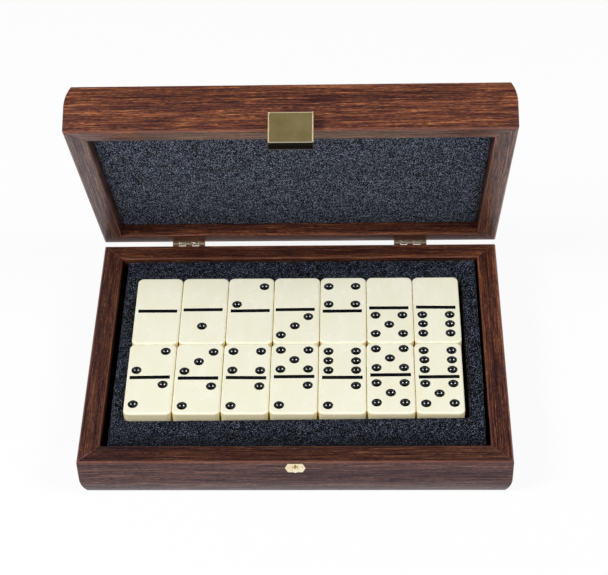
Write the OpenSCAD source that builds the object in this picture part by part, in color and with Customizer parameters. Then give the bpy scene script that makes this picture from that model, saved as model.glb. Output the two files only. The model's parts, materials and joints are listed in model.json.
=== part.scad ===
// Hinged domino storage box: a shallow mitred walnut case with a padded lid,
// a foam tray holding 28 tiles in two layers, a sprung snap flap and two butt hinges.
// Millimetres, +Z up, front towards -Y, origin under the middle of the base.

/* [Case] */
// Outside width of the case
box_w = 224; // [218:1:240]
// Outside depth of the case
box_d = 162; // [154:1:178]
// Height of the base frame
base_h = 26; // [25:0.5:30]
// Height of the lid frame
lid_h = 25.8; // [24:0.2:32]
// Thickness of the frame rails
wall = 11; // [10.5:0.1:12]
// Gap between the two rims when the lid is shut
seam = 0.4; // [0.3:0.1:0.8]
// How far the outer face curves in at the table or top face
edge_inset = 2.8; // [2:0.1:4]
// Height over which the outer face curves in
edge_rise = 12.3; // [9:0.1:13]
// Rounding of the outer rim edge
rim_round = 1.5; // [1:0.1:2]
// Rounding of the inner rim edge
inner_round = 0.8; // [0.4:0.1:1.2]
// Thickness of the top and bottom panels
panel_t = 3; // [2.5:0.1:3.5]
// Width of the rabbet that each panel sits in
rabbet_w = 4; // [3:0.1:4.5]
// Sideways play of a panel in its rabbet
panel_fit = 0.1; // [0.05:0.05:0.2]
// How far the lid stands open
lid_open = 62.7; // [0:0.1:120]

/* [Corner keys] */
// Length of the loose key across each mitre
key_l = 8; // [6:0.5:8.5]
// Width of the key along the mitre
key_w = 4; // [3:0.5:4.5]
// Thickness of the key
key_t = 1.6; // [1.2:0.1:2]
// Glue gap round the key
key_fit = 0.05; // [0.05:0.05:0.1]

/* [Foam] */
// Gap between the foam tray and the left rail
foam_gap_left = 2.4; // [0.5:0.1:3]
// Gap between the foam tray and the right rail
foam_gap_right = 1.6; // [0.5:0.1:3]
// Gap between the foam tray and the front and back rails
foam_gap_y = 1; // [0.5:0.1:2]
// Distance of the foam top below the rim
foam_drop = 1.6; // [1:0.1:4]
// Thickness of the foam under the tiles
foam_floor = 2.9; // [2:0.1:4]
// Play between the tiles and the pocket walls
pocket_play = 0.5; // [0.4:0.1:1]
// Extra play on the right side of the pocket
pocket_extra = 1.6; // [0:0.1:2]
// Corner radius of the pocket
pocket_r = 3; // [2:0.5:4]
// Clearance between a soft block and its neighbour
soft_gap = 0.3; // [0.3:0.1:0.5]
// Distance of the lid pad face above the lid rim
pad_recess = 6.7; // [6:0.1:9]

/* [Tiles] */
// Length of a tile
tile_l = 50.8; // [48:0.1:51]
// Width of a tile
tile_w = 25.4; // [24:0.1:25.4]
// Thickness of a tile
tile_t = 11.2; // [9:0.1:11.5]
// Gap between neighbouring tiles
tile_gap = 0.2; // [0.2:0.05:0.3]
// Gap between the two layers
layer_gap = 0.1; // [0.1:0.05:0.2]
// Corner radius of a tile seen from above
tile_corner = 3.2; // [2:0.1:4]
// Rounding of the top and bottom edges
tile_edge = 1.2; // [0.6:0.1:1.5]
// Sideways shift of the tile block in its pocket
tiles_x = -0.4; // [-0.4:0.1:0]
// Radius of the ball that cuts a pip
pip_ball = 3.1; // [2.8:0.1:3.4]
// Depth of a pip
pip_depth = 1.5; // [1:0.05:1.6]
// Half the distance between pip columns
pip_dx = 7.45; // [6.5:0.05:8]
// Distance between neighbouring pip rows
pip_dy = 6.6; // [6.2:0.05:6.8]
// Distance from the divider to the middle of the pips
pip_mid = 12.1; // [11.8:0.1:12.5]
// Length of the divider groove
bar_l = 21.6; // [18:0.1:22]
// Width of the divider groove
bar_w = 2.3; // [1.5:0.1:2.6]
// Depth of the divider groove
bar_depth = 0.5; // [0.3:0.1:0.8]

/* [Hinges] */
// Distance of each hinge centre from the middle
hinge_x = 63.5; // [55:0.5:75]
// Length of a hinge
hinge_l = 18.6; // [16:0.2:20]
// Distance of the hinge pin behind the back face
hinge_off = 1.4; // [1.4:0.1:2]
// Radius of the hinge barrel
barrel_r = 1.3; // [1.1:0.1:1.3]
// Radius of the hinge pin
hinge_pin_r = 0.55; // [0.45:0.05:0.6]
// Running clearance between the pin and the lid knuckles
pin_play = 0.05; // [0.03:0.01:0.08]
// Clearance between the pin and the base knuckles
pin_seat = 0.02; // [0.01:0.01:0.03]
// Gap between neighbouring knuckles
knuckle_gap = 0.2; // [0.15:0.05:0.3]
// Clearance round a knuckle in the other leaf
knuckle_relief = 0.3; // [0.3:0.05:0.4]
// Thickness of a hinge leaf
leaf_t = 0.7; // [0.6:0.05:0.7]
// Height of a hinge leaf from the pin line
leaf_h = 10; // [9:0.5:11]
// Half the distance between the screws of one leaf
screw_dx = 5.8; // [5:0.1:6]
// Distance of the screws from the pin line
screw_dz = 6.2; // [5.6:0.1:6.8]
// Radius of a hinge screw
screw_r = 0.9; // [0.7:0.05:1]
// Length of a hinge screw in the wood
screw_l = 8; // [6:0.5:8]
// Radius of a screw head
head_r = 1.7; // [1.5:0.1:1.9]
// Height of a screw head
head_h = 0.45; // [0.3:0.05:0.5]
// Clearance round a screw or nail in its hole
hole_fit = 0.05; // [0.03:0.01:0.1]

/* [Latch] */
// Width of the flap
flap_w = 22.4; // [21:0.2:24]
// Height of the flap above the lid rim
flap_up = 8.6; // [8.4:0.1:9]
// Height of the flap face below the lid rim
flap_down = 7.4; // [7.2:0.1:7.6]
// Height of the turned in lip below the face
lip_h = 2.4; // [2:0.1:2.6]
// How far the lip leans back
lip_back = 0.8; // [0.6:0.1:0.9]
// Thickness of the flap sheet
sheet_t = 0.8; // [0.6:0.1:0.9]
// Distance of the flap face from the case
flap_out = 5.2; // [5.2:0.1:5.6]
// Height of the raised border of the face
border_t = 0.4; // [0.2:0.1:0.6]
// Width of the raised border of the face
border_w = 1.3; // [1:0.1:2]
// Distance of the flap side walls from the case
cheek_back = 2; // [2:0.1:2.4]
// Distance of the flap pin from the case
pivot_out = 3; // [3:0.05:3.1]
// Height of the flap pin above the lid rim
pivot_up = 6.4; // [6.2:0.1:6.4]
// Radius of the flap pin
flap_pin_r = 0.6; // [0.5:0.05:0.65]
// Radius of the lugs that carry the flap pin
lug_r = 1.1; // [1:0.05:1.1]
// Thickness of one lug
lug_t = 2; // [1.5:0.1:2.5]
// Distance of each lug from the middle
lug_x = 6; // [5:0.1:7]
// Width of the back plate
plate_w = 18; // [16:0.2:19]
// Thickness of the back plate
plate_t = 0.6; // [0.5:0.05:0.6]
// Lowest height of the back plate above the rim
plate_low = 1.8; // [1.6:0.1:2.4]
// Highest height of the back plate above the rim
plate_high = 8.3; // [8:0.1:8.4]
// Radius of a brass nail
nail_r = 0.5; // [0.4:0.05:0.6]
// Length of a nail in the wood
nail_l = 6; // [4:0.5:8]
// Radius of a nail head
nail_head_r = 1; // [0.8:0.1:1.1]
// Height of a nail head
nail_head_h = 0.4; // [0.3:0.05:0.5]
// Distance of each latch nail from the middle
nail_x = 6.6; // [6.2:0.1:7]
// Height of the latch nails above the lid rim
nail_up = 3.6; // [3.2:0.1:3.8]

/* [Keeper] */
// Width of the keeper plate across its points
keeper_w = 10.6; // [9:0.2:12]
// Length of its top and bottom edges
keeper_flat = 7.6; // [6:0.2:8]
// Height of the keeper plate
keeper_h = 7.5; // [7:0.1:8]
// Thickness of the keeper plate
keeper_t = 0.8; // [0.6:0.1:1]
// Distance of its top edge below the base rim
keeper_drop = 1; // [0.8:0.1:1.5]
// Width of the catch stud
stud_w = 2.8; // [2.4:0.1:3]
// Distance of the stud face from the case
stud_out = 2.6; // [2.4:0.1:2.7]
// Distance of the stud top below the base rim
stud_top = 1.8; // [1.6:0.1:2.2]
// Distance of the stud bottom below the base rim
stud_low = 6.5; // [6:0.1:6.8]
// Radius of the shank behind the stud
shank_r = 0.8; // [0.7:0.05:0.9]
// Distance of each keeper nail from the middle
keeper_nail_x = 3.6; // [3.4:0.1:3.8]

/* [Hidden] */
$fn = 48;
eps = 0.01;
edge_r = (edge_inset * edge_inset + edge_rise * edge_rise) / (2 * edge_inset);
lid_z = base_h + seam;
hinge_y = box_d / 2 + hinge_off;
hinge_z = base_h + seam / 2;
in_w = box_w - 2 * wall;
in_d = box_d - 2 * wall;
knuckle_l = (hinge_l - 4 * knuckle_gap) / 5;
pitch_x = tile_w + tile_gap;
pitch_y = tile_l + tile_gap;
foam_low = panel_t + soft_gap;
foam_top = base_h - foam_drop;
pocket_z = foam_low + foam_floor;
layer_z = pocket_z + soft_gap;
tiles_half_x = 3.5 * pitch_x - tile_gap / 2;
tiles_half_y = pitch_y - tile_gap / 2;
walnut = [0.33, 0.2, 0.15];
panel_tone = [0.3, 0.18, 0.14];
foam_tone = [0.07, 0.07, 0.1];
brass = [0.72, 0.6, 0.33];
steel = [0.62, 0.6, 0.56];
ivory = [0.93, 0.9, 0.79];
birch = [0.8, 0.68, 0.48];

// Outline of a rail cut across, inset on X from the outer face, height on Y
module rail_section(h) {
  difference() {
    union() {
      intersection() {
        square([wall, edge_rise + eps]);
        translate([edge_r, edge_rise]) circle(r = edge_r, $fn = 96);
      }
      translate([0, edge_rise]) square([wall, h - edge_rise - rim_round]);
      translate([rim_round, h - rim_round]) circle(r = rim_round);
      translate([rim_round, h - rim_round - eps]) square([wall - rim_round - inner_round, rim_round + eps]);
      translate([wall - inner_round, h - inner_round]) circle(r = inner_round);
      translate([wall - 2 * inner_round, h - rim_round - eps])
        square([2 * inner_round, rim_round - inner_round + eps]);
    }
    translate([wall - rabbet_w, -eps]) square([rabbet_w + 1, panel_t + eps]);
  }
}

// A mitred rail of outer length l, outer face on -Y, standing on its panel side
module rail(l, h) {
  intersection() {
    translate([-l / 2, 0, 0]) rotate([90, 0, 90]) linear_extrude(l) rail_section(h);
    linear_extrude(h + 1)
      polygon([[-l / 2, 0], [l / 2, 0], [l / 2 - wall - 1, wall + 1], [-l / 2 + wall + 1, wall + 1]]);
  }
}

module rail_at(side, h) {
  if (side == 0) translate([0, -box_d / 2, 0]) rail(box_w, h);
  if (side == 1) translate([0, box_d / 2, 0]) rotate([0, 0, 180]) rail(box_w, h);
  if (side == 2) translate([-box_w / 2, 0, 0]) rotate([0, 0, -90]) rail(box_d, h);
  if (side == 3) translate([box_w / 2, 0, 0]) rotate([0, 0, 90]) rail(box_d, h);
}

// Loose keys across the four mitres at height z, grown by g on every side
module keys(z, g) {
  for (sx = [-1, 1]) for (sy = [-1, 1])
    translate([sx * (box_w - wall) / 2, sy * (box_d - wall) / 2, z])
      rotate([0, 0, -45 * sx * sy])
        translate([-key_l / 2 - g, -key_w / 2 - g, -g]) cube([key_l + 2 * g, key_w + 2 * g, key_t + 2 * g]);
}

// Turns what is drawn shut into the open lid
module opened() {
  translate([0, hinge_y, hinge_z]) rotate([-lid_open, 0, 0]) translate([0, -hinge_y, -hinge_z])
    children();
}

// Stands a lid rail or panel, drawn like the base, upside down on the seam
module flipped() {
  translate([0, 0, lid_z + lid_h]) mirror([0, 0, 1]) children();
}

module base_rail(side) {
  color(walnut) difference() {
    rail_at(side, base_h);
    keys(base_h / 2, key_fit);
    if (side == 1) screw_set(-1, hole_fit);
    if (side == 0) keeper_holes(hole_fit);
  }
}

module lid_rail(side) {
  color(walnut) opened() difference() {
    flipped() rail_at(side, lid_h);
    keys(lid_z + lid_h / 2 - 3, key_fit);
    if (side == 1) screw_set(1, hole_fit);
    if (side == 0) latch_nail_set(hole_fit);
  }
}

module panel() {
  w = box_w - 2 * (wall - rabbet_w + panel_fit);
  d = box_d - 2 * (wall - rabbet_w + panel_fit);
  color(panel_tone) translate([-w / 2, -d / 2, 0]) cube([w, d, panel_t]);
}

// Shanks and heads of the hinge screws: s is -1 on the base and 1 on the lid
module screw_set(s, g = 0) {
  for (hx = [-hinge_x, hinge_x]) for (dx = [-screw_dx, screw_dx])
    translate([hx + dx, box_d / 2 + leaf_t, hinge_z + s * screw_dz]) rotate([90, 0, 0])
      cylinder(r = screw_r + g, h = screw_l + leaf_t + g);
}

module screws(s) {
  color(brass) {
    screw_set(s);
    for (hx = [-hinge_x, hinge_x]) for (dx = [-screw_dx, screw_dx])
      translate([hx + dx, box_d / 2 + leaf_t, hinge_z + s * screw_dz]) rotate([-90, 0, 0])
        cylinder(r1 = head_r, r2 = head_r - 0.3, h = head_h);
  }
}

// One leaf of a butt hinge: s is -1 on the base and 1 on the lid
module leaf(hx, s) {
  color(brass) translate([hx, hinge_y, hinge_z]) difference() {
    union() {
      translate([-hinge_l / 2, -hinge_off, s > 0 ? 0 : -leaf_h]) cube([hinge_l, leaf_t, leaf_h]);
      for (k = [0:4]) if ((k % 2 == 0) == (s < 0))
        translate([-hinge_l / 2 + k * (knuckle_l + knuckle_gap), 0, 0]) rotate([0, 90, 0])
          cylinder(r = barrel_r, h = knuckle_l);
    }
    for (k = [0:4]) if ((k % 2 == 0) != (s < 0))
      translate([-hinge_l / 2 + k * (knuckle_l + knuckle_gap) - knuckle_gap, 0, 0]) rotate([0, 90, 0])
        cylinder(r = barrel_r + knuckle_relief, h = knuckle_l + 2 * knuckle_gap);
    translate([-hinge_l / 2 - 1, 0, 0]) rotate([0, 90, 0])
      cylinder(r = hinge_pin_r + (s < 0 ? pin_seat : pin_play), h = hinge_l + 2);
    for (dx = [-screw_dx, screw_dx])
      translate([dx, -hinge_off - 1, s * screw_dz]) rotate([-90, 0, 0])
        cylinder(r = screw_r + hole_fit, h = leaf_t + 2);
  }
}

module hinge_rod(hx) {
  color(steel) translate([hx - hinge_l / 2, hinge_y, hinge_z]) rotate([0, 90, 0])
    cylinder(r = hinge_pin_r, h = hinge_l);
}

// Places what is drawn with X along the pin, +Y out from the front and +Z up from the lid rim
module on_front(z) {
  translate([0, -box_d / 2, z]) mirror([0, 1, 0]) children();
}

module latch_nail_set(g = 0) {
  on_front(lid_z) for (sx = [-1, 1])
    translate([sx * nail_x, plate_t + g, nail_up]) rotate([90, 0, 0])
      cylinder(r = nail_r + g, h = nail_l + plate_t + 2 * g);
}

module keeper_nail_set(g = 0) {
  on_front(base_h - keeper_drop - keeper_h / 2) for (sx = [-1, 1])
    translate([sx * keeper_nail_x, keeper_t + g, 0]) rotate([90, 0, 0])
      cylinder(r = nail_r + g, h = nail_l + keeper_t + 2 * g);
}

module keeper_shank(g = 0) {
  on_front(base_h - keeper_drop - keeper_h / 2)
    translate([0, keeper_t + g, 0]) rotate([90, 0, 0])
      cylinder(r = shank_r + g, h = nail_l + keeper_t + 2 * g);
}

module keeper_holes(g) {
  keeper_nail_set(g);
  keeper_shank(g);
}

// Side view of the flap: Y out from the case, Z up from the lid rim
module cheek_outline() {
  polygon([[cheek_back, -flap_down], [flap_out - lip_back - sheet_t, -flap_down - lip_h],
    [flap_out - lip_back, -flap_down - lip_h], [flap_out, -flap_down], [flap_out, flap_up],
    [cheek_back - 0.5, flap_up], [cheek_back - 0.5, pivot_up - 1.2], [cheek_back, pivot_up - 2.4]]);
}

module flap_slice(x, w) {
  translate([x, 0, 0]) rotate([90, 0, 90]) linear_extrude(w) children();
}

// Spots of one half of a tile, n of them
module pips(n) {
  z = tile_t - pip_depth + pip_ball;
  if (n % 2 == 1) translate([0, 0, z]) sphere(r = pip_ball, $fn = 32);
  if (n > 1) for (s = [-1, 1]) translate([s * pip_dx, s * pip_dy, z]) sphere(r = pip_ball, $fn = 32);
  if (n > 3) for (s = [-1, 1]) translate([s * pip_dx, -s * pip_dy, z]) sphere(r = pip_ball, $fn = 32);
  if (n == 6) for (s = [-1, 1]) translate([s * pip_dx, 0, z]) sphere(r = pip_ball, $fn = 32);
}

// Side view of a tile of width w with rounded edges, centred on X
module tile_section(w) {
  translate([-w / 2 + tile_edge, 0]) square([w - 2 * tile_edge, tile_t]);
  translate([-w / 2, tile_edge]) square([w, tile_t - 2 * tile_edge]);
  for (x = [-w / 2 + tile_edge, w / 2 - tile_edge]) for (y = [tile_edge, tile_t - tile_edge])
    translate([x, y]) circle(r = tile_edge, $fn = 32);
}

module tile_blank() {
  union() {
    rotate([90, 0, 0]) translate([0, 0, -tile_l / 2 + tile_corner])
      linear_extrude(tile_l - 2 * tile_corner) tile_section(tile_w);
    rotate([90, 0, 90]) translate([0, 0, -tile_w / 2 + tile_corner])
      linear_extrude(tile_w - 2 * tile_corner) tile_section(tile_l);
    for (sx = [-1, 1]) for (sy = [-1, 1])
      translate([sx * (tile_w / 2 - tile_corner), sy * (tile_l / 2 - tile_corner), 0])
        rotate_extrude($fn = 48) intersection() {
          tile_section(2 * tile_corner);
          square([tile_corner, tile_t]);
        }
  }
}

// A tile in column c, row r (0 front, 1 back) and layer l, with a spots behind and b in front
module tile(c, r, l, a, b) {
  color(ivory)
    translate([tiles_x + (c - 3) * pitch_x, (r - 0.5) * pitch_y, layer_z + l * (tile_t + layer_gap)])
      difference() {
        tile_blank();
        translate([-bar_l / 2, -bar_w / 2, tile_t - bar_depth]) cube([bar_l, bar_w, bar_depth + 1]);
        translate([0, pip_mid, 0]) pips(a);
        translate([0, -pip_mid, 0]) pips(b);
      }
}

module base_front_rail() base_rail(0);
module base_back_rail() base_rail(1);
module base_left_rail() base_rail(2);
module base_right_rail() base_rail(3);
module bottom_panel() panel();
module base_corner_keys() color(birch) keys(base_h / 2, 0);

module foam_tray() {
  x0 = -in_w / 2 + foam_gap_left;
  x1 = in_w / 2 - foam_gap_right;
  y1 = in_d / 2 - foam_gap_y;
  px0 = tiles_x - tiles_half_x - pocket_play;
  px1 = tiles_x + tiles_half_x + pocket_play + pocket_extra;
  py1 = tiles_half_y + pocket_play;
  color(foam_tone) difference() {
    translate([x0, -y1, foam_low]) cube([x1 - x0, 2 * y1, foam_top - foam_low]);
    translate([0, 0, pocket_z]) {
      translate([px0, -py1 + pocket_r, 0]) cube([px1 - px0, 2 * (py1 - pocket_r), base_h]);
      translate([px0 + pocket_r, -py1, 0]) cube([px1 - px0 - 2 * pocket_r, 2 * py1, base_h]);
      for (x = [px0 + pocket_r, px1 - pocket_r]) for (s = [-1, 1])
        translate([x, s * (py1 - pocket_r), 0]) cylinder(r = pocket_r, h = base_h);
    }
  }
}

module lid_front_rail() lid_rail(0);
module lid_back_rail() lid_rail(1);
module lid_left_rail() lid_rail(2);
module lid_right_rail() lid_rail(3);
module top_panel() opened() flipped() panel();
module lid_corner_keys() color(birch) opened() keys(lid_z + lid_h / 2 - 3, 0);

module lid_pad() {
  color(foam_tone) opened()
    translate([-in_w / 2 + soft_gap, -in_d / 2 + soft_gap, lid_z + pad_recess])
      cube([in_w - 2 * soft_gap, in_d - 2 * soft_gap, lid_h - panel_t - soft_gap - pad_recess]);
}

module left_hinge_base_leaf() leaf(-hinge_x, -1);
module left_hinge_lid_leaf() opened() leaf(-hinge_x, 1);
module left_hinge_pin() hinge_rod(-hinge_x);
module right_hinge_base_leaf() leaf(hinge_x, -1);
module right_hinge_lid_leaf() opened() leaf(hinge_x, 1);
module right_hinge_pin() hinge_rod(hinge_x);
module base_hinge_screws() screws(-1);
module lid_hinge_screws() opened() screws(1);

module latch_backplate() {
  color(brass) opened() on_front(lid_z) difference() {
    union() {
      translate([-plate_w / 2, 0, plate_low]) cube([plate_w, plate_t, plate_high - plate_low]);
      for (sx = [-1, 1]) translate([sx * lug_x - lug_t / 2, 0, 0]) {
        translate([0, plate_t / 2, pivot_up - lug_r]) cube([lug_t, pivot_out - plate_t / 2, lug_r]);
        translate([0, pivot_out, pivot_up]) rotate([0, 90, 0]) cylinder(r = lug_r, h = lug_t);
      }
    }
    translate([-flap_w, pivot_out, pivot_up]) rotate([0, 90, 0])
      cylinder(r = flap_pin_r + pin_seat, h = 2 * flap_w);
    for (sx = [-1, 1]) translate([sx * nail_x, 2 * plate_t, nail_up]) rotate([90, 0, 0])
      cylinder(r = nail_r + hole_fit, h = 3 * plate_t);
  }
}

module latch_flap() {
  color(brass) opened() on_front(lid_z) difference() {
    union() {
      flap_slice(-flap_w / 2, sheet_t) cheek_outline();
      flap_slice(flap_w / 2 - sheet_t, sheet_t) cheek_outline();
      translate([-flap_w / 2, flap_out - sheet_t, -flap_down])
        cube([flap_w, sheet_t, flap_up + flap_down]);
      translate([-flap_w / 2, pivot_out, flap_up - sheet_t + 0.1])
        cube([flap_w, flap_out - pivot_out, sheet_t - 0.1]);
      flap_slice(-flap_w / 2, flap_w) polygon([
        [flap_out - sheet_t, -flap_down + eps], [flap_out, -flap_down + eps], [flap_out, -flap_down],
        [flap_out - lip_back, -flap_down - lip_h], [flap_out - lip_back - sheet_t, -flap_down - lip_h],
        [flap_out - sheet_t, -flap_down]]);
      translate([-flap_w / 2, flap_out - eps, -flap_down]) difference() {
        cube([flap_w, border_t + eps, flap_up + flap_down]);
        translate([border_w, -1, border_w])
          cube([flap_w - 2 * border_w, border_t + 2, flap_up + flap_down - 2 * border_w]);
      }
    }
    translate([-flap_w, pivot_out, pivot_up]) rotate([0, 90, 0])
      cylinder(r = flap_pin_r + pin_play, h = 2 * flap_w);
  }
}

module latch_pin() {
  color(steel) opened() on_front(lid_z)
    translate([-flap_w / 2 - 0.1, pivot_out, pivot_up]) rotate([0, 90, 0])
      cylinder(r = flap_pin_r, h = flap_w + 0.2);
}

// Closed coils round the pin with one leg on the plate and one behind the face
module latch_spring() {
  color(steel) opened() on_front(lid_z) translate([0, pivot_out, pivot_up]) difference() {
    union() {
      translate([-3.4, 0, 0]) rotate([0, 90, 0]) cylinder(r = flap_pin_r + 0.45, h = 6.8);
      translate([-3.4, 0.4, -3.6]) cube([0.4, 0.3, 3.2]);
      translate([3, 0, 0]) rotate([-18, 0, 0]) translate([0, -1, -3.6]) cube([0.4, 0.3, 3.2]);
    }
    translate([-4, 0, 0]) rotate([0, 90, 0]) cylinder(r = flap_pin_r + 0.15, h = 8);
  }
}

module latch_nails() {
  color(brass) opened() {
    latch_nail_set();
    on_front(lid_z) for (sx = [-1, 1]) translate([sx * nail_x, plate_t, nail_up]) rotate([-90, 0, 0])
      cylinder(r = nail_head_r, h = nail_head_h);
  }
}

module keeper_plate() {
  color(brass) on_front(base_h - keeper_drop - keeper_h / 2) difference() {
    translate([0, keeper_t, 0]) rotate([90, 0, 0]) linear_extrude(keeper_t)
      polygon([[-keeper_w / 2, 0], [-keeper_flat / 2, keeper_h / 2], [keeper_flat / 2, keeper_h / 2],
        [keeper_w / 2, 0], [keeper_flat / 2, -keeper_h / 2], [-keeper_flat / 2, -keeper_h / 2]]);
    translate([0, 2 * keeper_t, 0]) rotate([90, 0, 0])
      cylinder(r = shank_r + hole_fit, h = 3 * keeper_t);
    for (sx = [-1, 1]) translate([sx * keeper_nail_x, 2 * keeper_t, 0]) rotate([90, 0, 0])
      cylinder(r = nail_r + hole_fit, h = 3 * keeper_t);
  }
}

module keeper_stud() {
  h = stud_low - stud_top;
  r = stud_w / 2;
  color(brass) {
    keeper_shank();
    on_front(base_h - stud_low) {
      intersection() {
        translate([0, stud_out - r, 0]) cylinder(r = r, h = h);
        translate([-r, keeper_t, 0]) cube([stud_w, stud_w, h]);
      }
      translate([-r, keeper_t, 0]) cube([stud_w, stud_out - r - keeper_t, h]);
    }
  }
}

module keeper_nails() {
  color(brass) {
    keeper_nail_set();
    on_front(base_h - keeper_drop - keeper_h / 2) for (sx = [-1, 1])
      translate([sx * keeper_nail_x, keeper_t, 0]) rotate([-90, 0, 0])
        cylinder(r = nail_r + 0.25, h = nail_head_h);
  }
}

module domino_0_0() tile(0, 1, 1, 0, 0);
module domino_0_1() tile(1, 1, 1, 0, 1);
module domino_2_0() tile(2, 1, 1, 2, 0);
module domino_0_3() tile(3, 1, 1, 0, 3);
module domino_4_0() tile(4, 1, 1, 4, 0);
module domino_0_5() tile(5, 1, 1, 0, 5);
module domino_0_6() tile(6, 1, 1, 0, 6);
module domino_2_2() tile(0, 0, 1, 2, 2);
module domino_3_2() tile(1, 0, 1, 3, 2);
module domino_4_2() tile(2, 0, 1, 4, 2);
module domino_5_2() tile(3, 0, 1, 5, 2);
module domino_6_2() tile(4, 0, 1, 6, 2);
module domino_5_5() tile(5, 0, 1, 5, 5);
module domino_6_5() tile(6, 0, 1, 6, 5);
module domino_1_1() tile(0, 1, 0, 1, 1);
module domino_1_2() tile(1, 1, 0, 1, 2);
module domino_1_3() tile(2, 1, 0, 1, 3);
module domino_1_4() tile(3, 1, 0, 1, 4);
module domino_1_5() tile(4, 1, 0, 1, 5);
module domino_1_6() tile(5, 1, 0, 1, 6);
module domino_3_3() tile(6, 1, 0, 3, 3);
module domino_3_4() tile(0, 0, 0, 3, 4);
module domino_3_5() tile(1, 0, 0, 3, 5);
module domino_3_6() tile(2, 0, 0, 3, 6);
module domino_4_4() tile(3, 0, 0, 4, 4);
module domino_4_5() tile(4, 0, 0, 4, 5);
module domino_4_6() tile(5, 0, 0, 4, 6);
module domino_6_6() tile(6, 0, 0, 6, 6);

base_front_rail();
base_back_rail();
base_left_rail();
base_right_rail();
bottom_panel();
base_corner_keys();
foam_tray();
lid_front_rail();
lid_back_rail();
lid_left_rail();
lid_right_rail();
top_panel();
lid_corner_keys();
lid_pad();
left_hinge_base_leaf();
left_hinge_lid_leaf();
left_hinge_pin();
right_hinge_base_leaf();
right_hinge_lid_leaf();
right_hinge_pin();
base_hinge_screws();
lid_hinge_screws();
latch_backplate();
latch_flap();
latch_pin();
latch_spring();
latch_nails();
keeper_plate();
keeper_stud();
keeper_nails();
domino_0_0();
domino_0_1();
domino_2_0();
domino_0_3();
domino_4_0();
domino_0_5();
domino_0_6();
domino_2_2();
domino_3_2();
domino_4_2();
domino_5_2();
domino_6_2();
domino_5_5();
domino_6_5();
domino_1_1();
domino_1_2();
domino_1_3();
domino_1_4();
domino_1_5();
domino_1_6();
domino_3_3();
domino_3_4();
domino_3_5();
domino_3_6();
domino_4_4();
domino_4_5();
domino_4_6();
domino_6_6();
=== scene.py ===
# %% [markdown]
# # Domino storage box
# The object is a shallow walnut case with a hinged lid, a foam tray full of ivory
# tiles, and small brass fittings. The construction model already holds every size and
# joint, so this lesson only dresses it: each piece is made where the model says, and
# rides on the body that carries it. Everything is in metres, in the model's own frame.

# %% Load the construction model
import json
import math
import random
import bmesh
import bpy
from mathutils import Matrix, Vector


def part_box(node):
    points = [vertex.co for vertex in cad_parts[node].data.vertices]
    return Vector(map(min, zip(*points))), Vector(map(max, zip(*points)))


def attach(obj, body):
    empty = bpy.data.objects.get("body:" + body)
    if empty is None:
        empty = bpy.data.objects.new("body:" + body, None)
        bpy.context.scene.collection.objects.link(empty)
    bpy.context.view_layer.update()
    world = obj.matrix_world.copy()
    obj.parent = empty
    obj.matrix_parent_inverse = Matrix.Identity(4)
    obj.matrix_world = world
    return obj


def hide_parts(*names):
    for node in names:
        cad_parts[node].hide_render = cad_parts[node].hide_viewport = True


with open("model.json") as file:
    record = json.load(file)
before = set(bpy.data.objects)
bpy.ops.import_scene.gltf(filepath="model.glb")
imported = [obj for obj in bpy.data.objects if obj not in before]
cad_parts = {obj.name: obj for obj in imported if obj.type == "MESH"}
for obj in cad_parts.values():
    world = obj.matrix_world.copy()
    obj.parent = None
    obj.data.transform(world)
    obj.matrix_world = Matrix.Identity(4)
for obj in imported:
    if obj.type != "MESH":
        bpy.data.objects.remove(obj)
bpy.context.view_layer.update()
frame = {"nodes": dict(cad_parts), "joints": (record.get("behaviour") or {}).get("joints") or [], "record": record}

MM = 0.001
bodies = frame["record"]["behaviour"]["bodies"]
print("bodies:", len(bodies), "nodes:", len(frame["nodes"]))

# %% [markdown]
# ## Camera
# The photograph was taken from above with a long lens. The place and turn of the
# camera were solved from about forty corners of the box, so the numbers are not round.
# A lens in millimetres belongs to a 36 mm wide sensor, which spans the picture's width.
# The picture is a crop, so the lens axis meets it left of its middle.

# %% Camera
PICTURE_W, SENSOR_W = 608, 36
FOCAL_PIXELS, AXIS_PIXEL = 1816.8, 270.0
CAMERA_PLACE = Vector((30.82, -678.60, 740.36)) * MM
CAMERA_YAW, CAMERA_PITCH, CAMERA_ROLL = (math.radians(a) for a in (-3.683, -44.53, -2.923))

ahead = Vector((math.sin(CAMERA_YAW) * math.cos(CAMERA_PITCH),
                math.cos(CAMERA_YAW) * math.cos(CAMERA_PITCH), math.sin(CAMERA_PITCH)))
level = Vector((math.cos(CAMERA_YAW), -math.sin(CAMERA_YAW), 0))
upward = level.cross(ahead)
right = level * math.cos(CAMERA_ROLL) + upward * math.sin(CAMERA_ROLL)
upward = upward * math.cos(CAMERA_ROLL) - level * math.sin(CAMERA_ROLL)

lens = bpy.data.cameras.new("photo_camera")
lens.sensor_width = SENSOR_W
lens.lens = FOCAL_PIXELS / PICTURE_W * SENSOR_W
lens.shift_x = (PICTURE_W / 2 - AXIS_PIXEL) / PICTURE_W
lens.clip_start, lens.clip_end = 0.01, 50
camera = bpy.data.objects.new("photo_camera", lens)
turn = Matrix((right, upward, -ahead)).transposed().to_4x4()
camera.matrix_world = Matrix.Translation(CAMERA_PLACE) @ turn
bpy.context.scene.collection.objects.link(camera)
bpy.context.scene.camera = camera
print("lens:", round(lens.lens, 1), "mm")

# %% [markdown]
# ## Writing node graphs as sums
# Materials and Geometry Nodes are both graphs. A small class wraps a socket so that
# `1 - mask` or `grain * 0.3` adds the Math node by itself, and one method makes any
# other node from its type, its settings and what goes into its sockets.

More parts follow.
